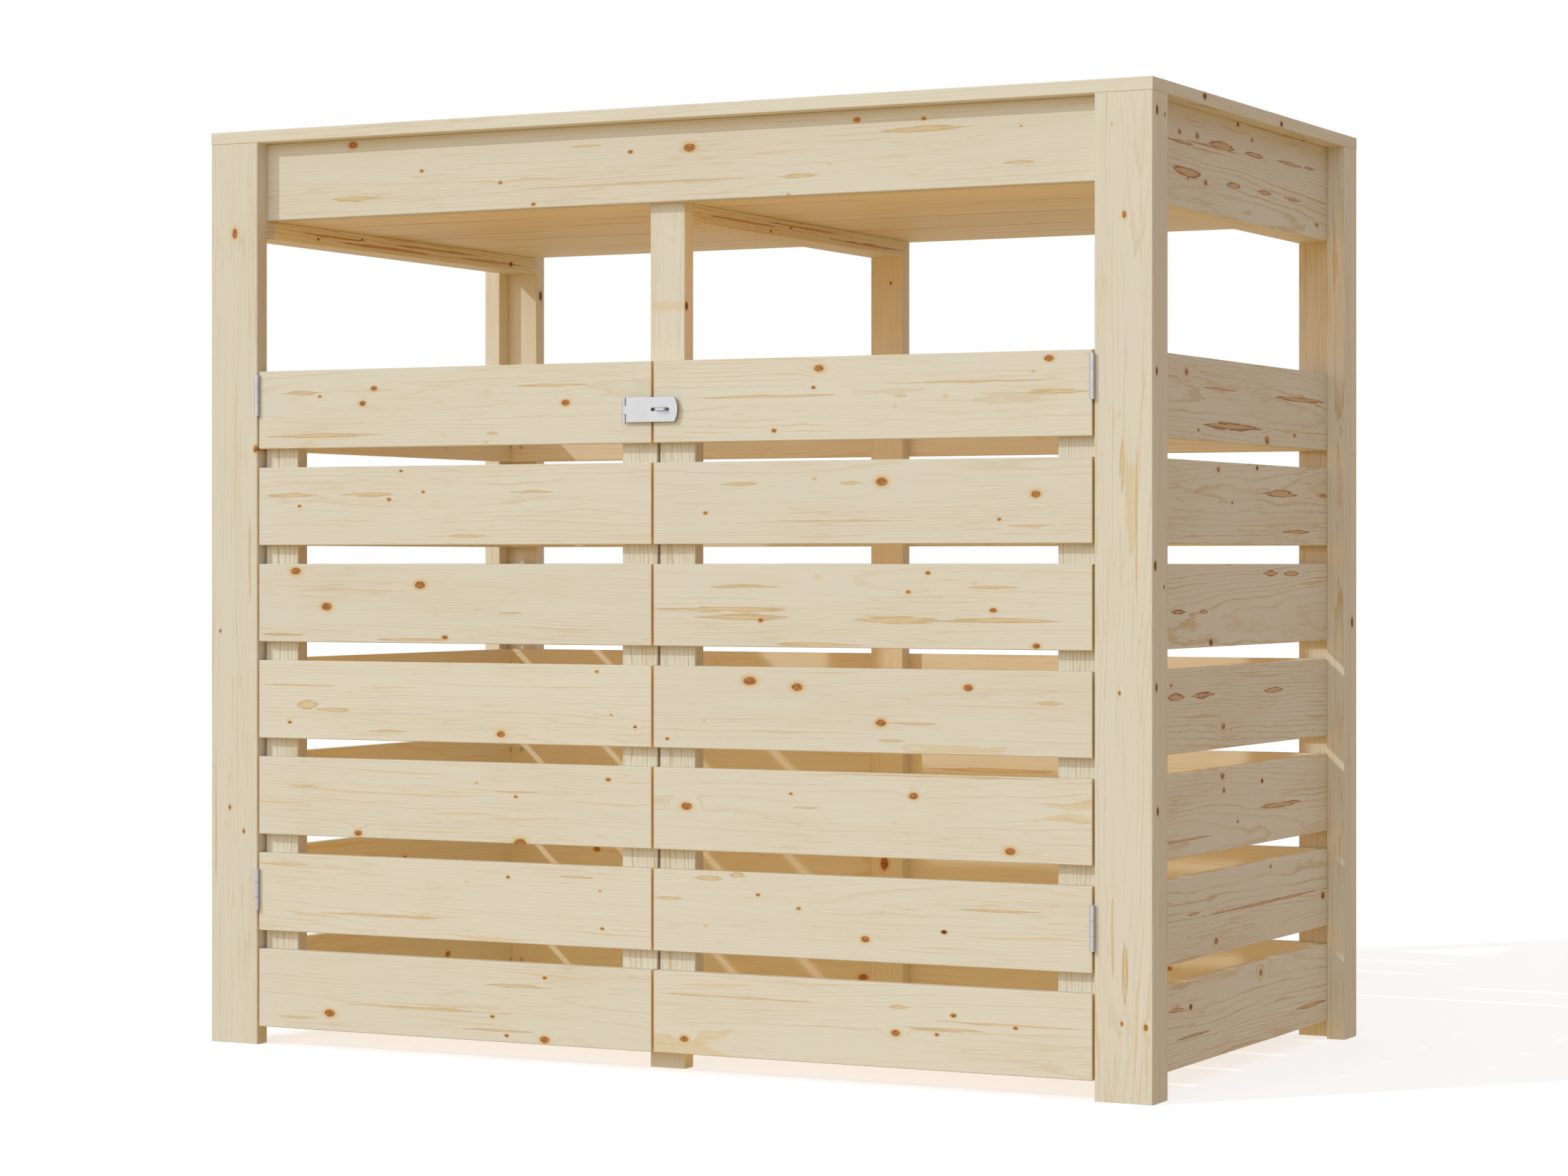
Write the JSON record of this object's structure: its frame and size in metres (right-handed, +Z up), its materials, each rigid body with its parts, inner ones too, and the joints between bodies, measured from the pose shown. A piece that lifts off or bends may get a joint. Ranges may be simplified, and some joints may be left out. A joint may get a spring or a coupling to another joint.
{
  "type": "wheelie bin store",
  "caption": "Slatted softwood store for two wheelie bins, with a roof tray under a mitred rim, and double doors on butt hinges closed by a hasp and staple.",
  "frame": {"origin": "on the ground, under the middle of the bounding box", "axes": "+X to the right of someone who faces the doors, +Y from the doors to the back, +Z up"},
  "size_m": [1.386, 0.7854, 1.25],
  "materials": {
    "planed_softwood": "planed pale spruce, satin, with fine grain and brown knots",
    "roof_board": "plain softwood board, matt",
    "zinc_metal": "bright zinc plate, satin"
  },
  "bodies": {
    "frame": {"centre_bearer": "planed_softwood", "front_centre_post": "planed_softwood", "front_fascia": "planed_softwood", "front_left_post_batten": "planed_softwood", "front_left_post_plank": "planed_softwood", "front_right_post_batten": "planed_softwood", "front_right_post_plank": "planed_softwood", "front_rim": "planed_softwood", "left_bearer": "planed_softwood", "left_fascia": "planed_softwood", "left_hinge_pins": "zinc_metal", "left_hinge_post_leaves": "zinc_metal", "left_post_screws": "zinc_metal", "left_rim": "planed_softwood", "left_side_boards": "planed_softwood", "rear_boards": "planed_softwood", "rear_centre_post": "planed_softwood", "rear_fascia": "planed_softwood", "rear_left_post_batten": "planed_softwood", "rear_left_post_plank": "planed_softwood", "rear_right_post_batten": "planed_softwood", "rear_right_post_plank": "planed_softwood", "rear_rim": "planed_softwood", "right_bearer": "planed_softwood", "right_fascia": "planed_softwood", "right_hinge_pins": "zinc_metal", "right_hinge_post_leaves": "zinc_metal", "right_post_screws": "zinc_metal", "right_rim": "planed_softwood", "right_side_boards": "planed_softwood", "roof_panel": "roof_board"},
    "left_door": {"left_door_hinge_stile": "planed_softwood", "left_door_meeting_stile": "planed_softwood", "left_door_screws": "zinc_metal", "left_door_slat_1": "planed_softwood", "left_door_slat_2": "planed_softwood", "left_door_slat_3": "planed_softwood", "left_door_slat_4": "planed_softwood", "left_door_slat_5": "planed_softwood", "left_door_slat_6": "planed_softwood", "left_door_slat_7": "planed_softwood", "left_hinge_door_leaves": "zinc_metal", "hasp_base": "zinc_metal", "hasp_pin": "zinc_metal"},
    "right_door": {"right_door_hinge_stile": "planed_softwood", "right_door_meeting_stile": "planed_softwood", "right_door_screws": "zinc_metal", "right_door_slat_1": "planed_softwood", "right_door_slat_2": "planed_softwood", "right_door_slat_3": "planed_softwood", "right_door_slat_4": "planed_softwood", "right_door_slat_5": "planed_softwood", "right_door_slat_6": "planed_softwood", "right_door_slat_7": "planed_softwood", "right_hinge_door_leaves": "zinc_metal", "hasp_staple": "zinc_metal"},
    "hasp_strap": {"hasp_strap": "zinc_metal"}
  },
  "joints": [
    {"name": "left_door_swing", "type": "hinge", "parent": "frame", "child": "left_door", "pos_m": [-0.6153, -0.3826, 0.55], "axis": [0, 0, -1], "range_deg": [0, 180]},
    {"name": "right_door_swing", "type": "hinge", "parent": "frame", "child": "right_door", "pos_m": [0.6153, -0.3826, 0.55], "axis": [0, 0, 1], "range_deg": [0, 180]},
    {"name": "hasp_strap_swing", "type": "hinge", "parent": "left_door", "child": "hasp_strap", "pos_m": [-0.0395, -0.3827, 0.857], "axis": [0, 0, -1], "range_deg": [0, 180]}
  ]
}
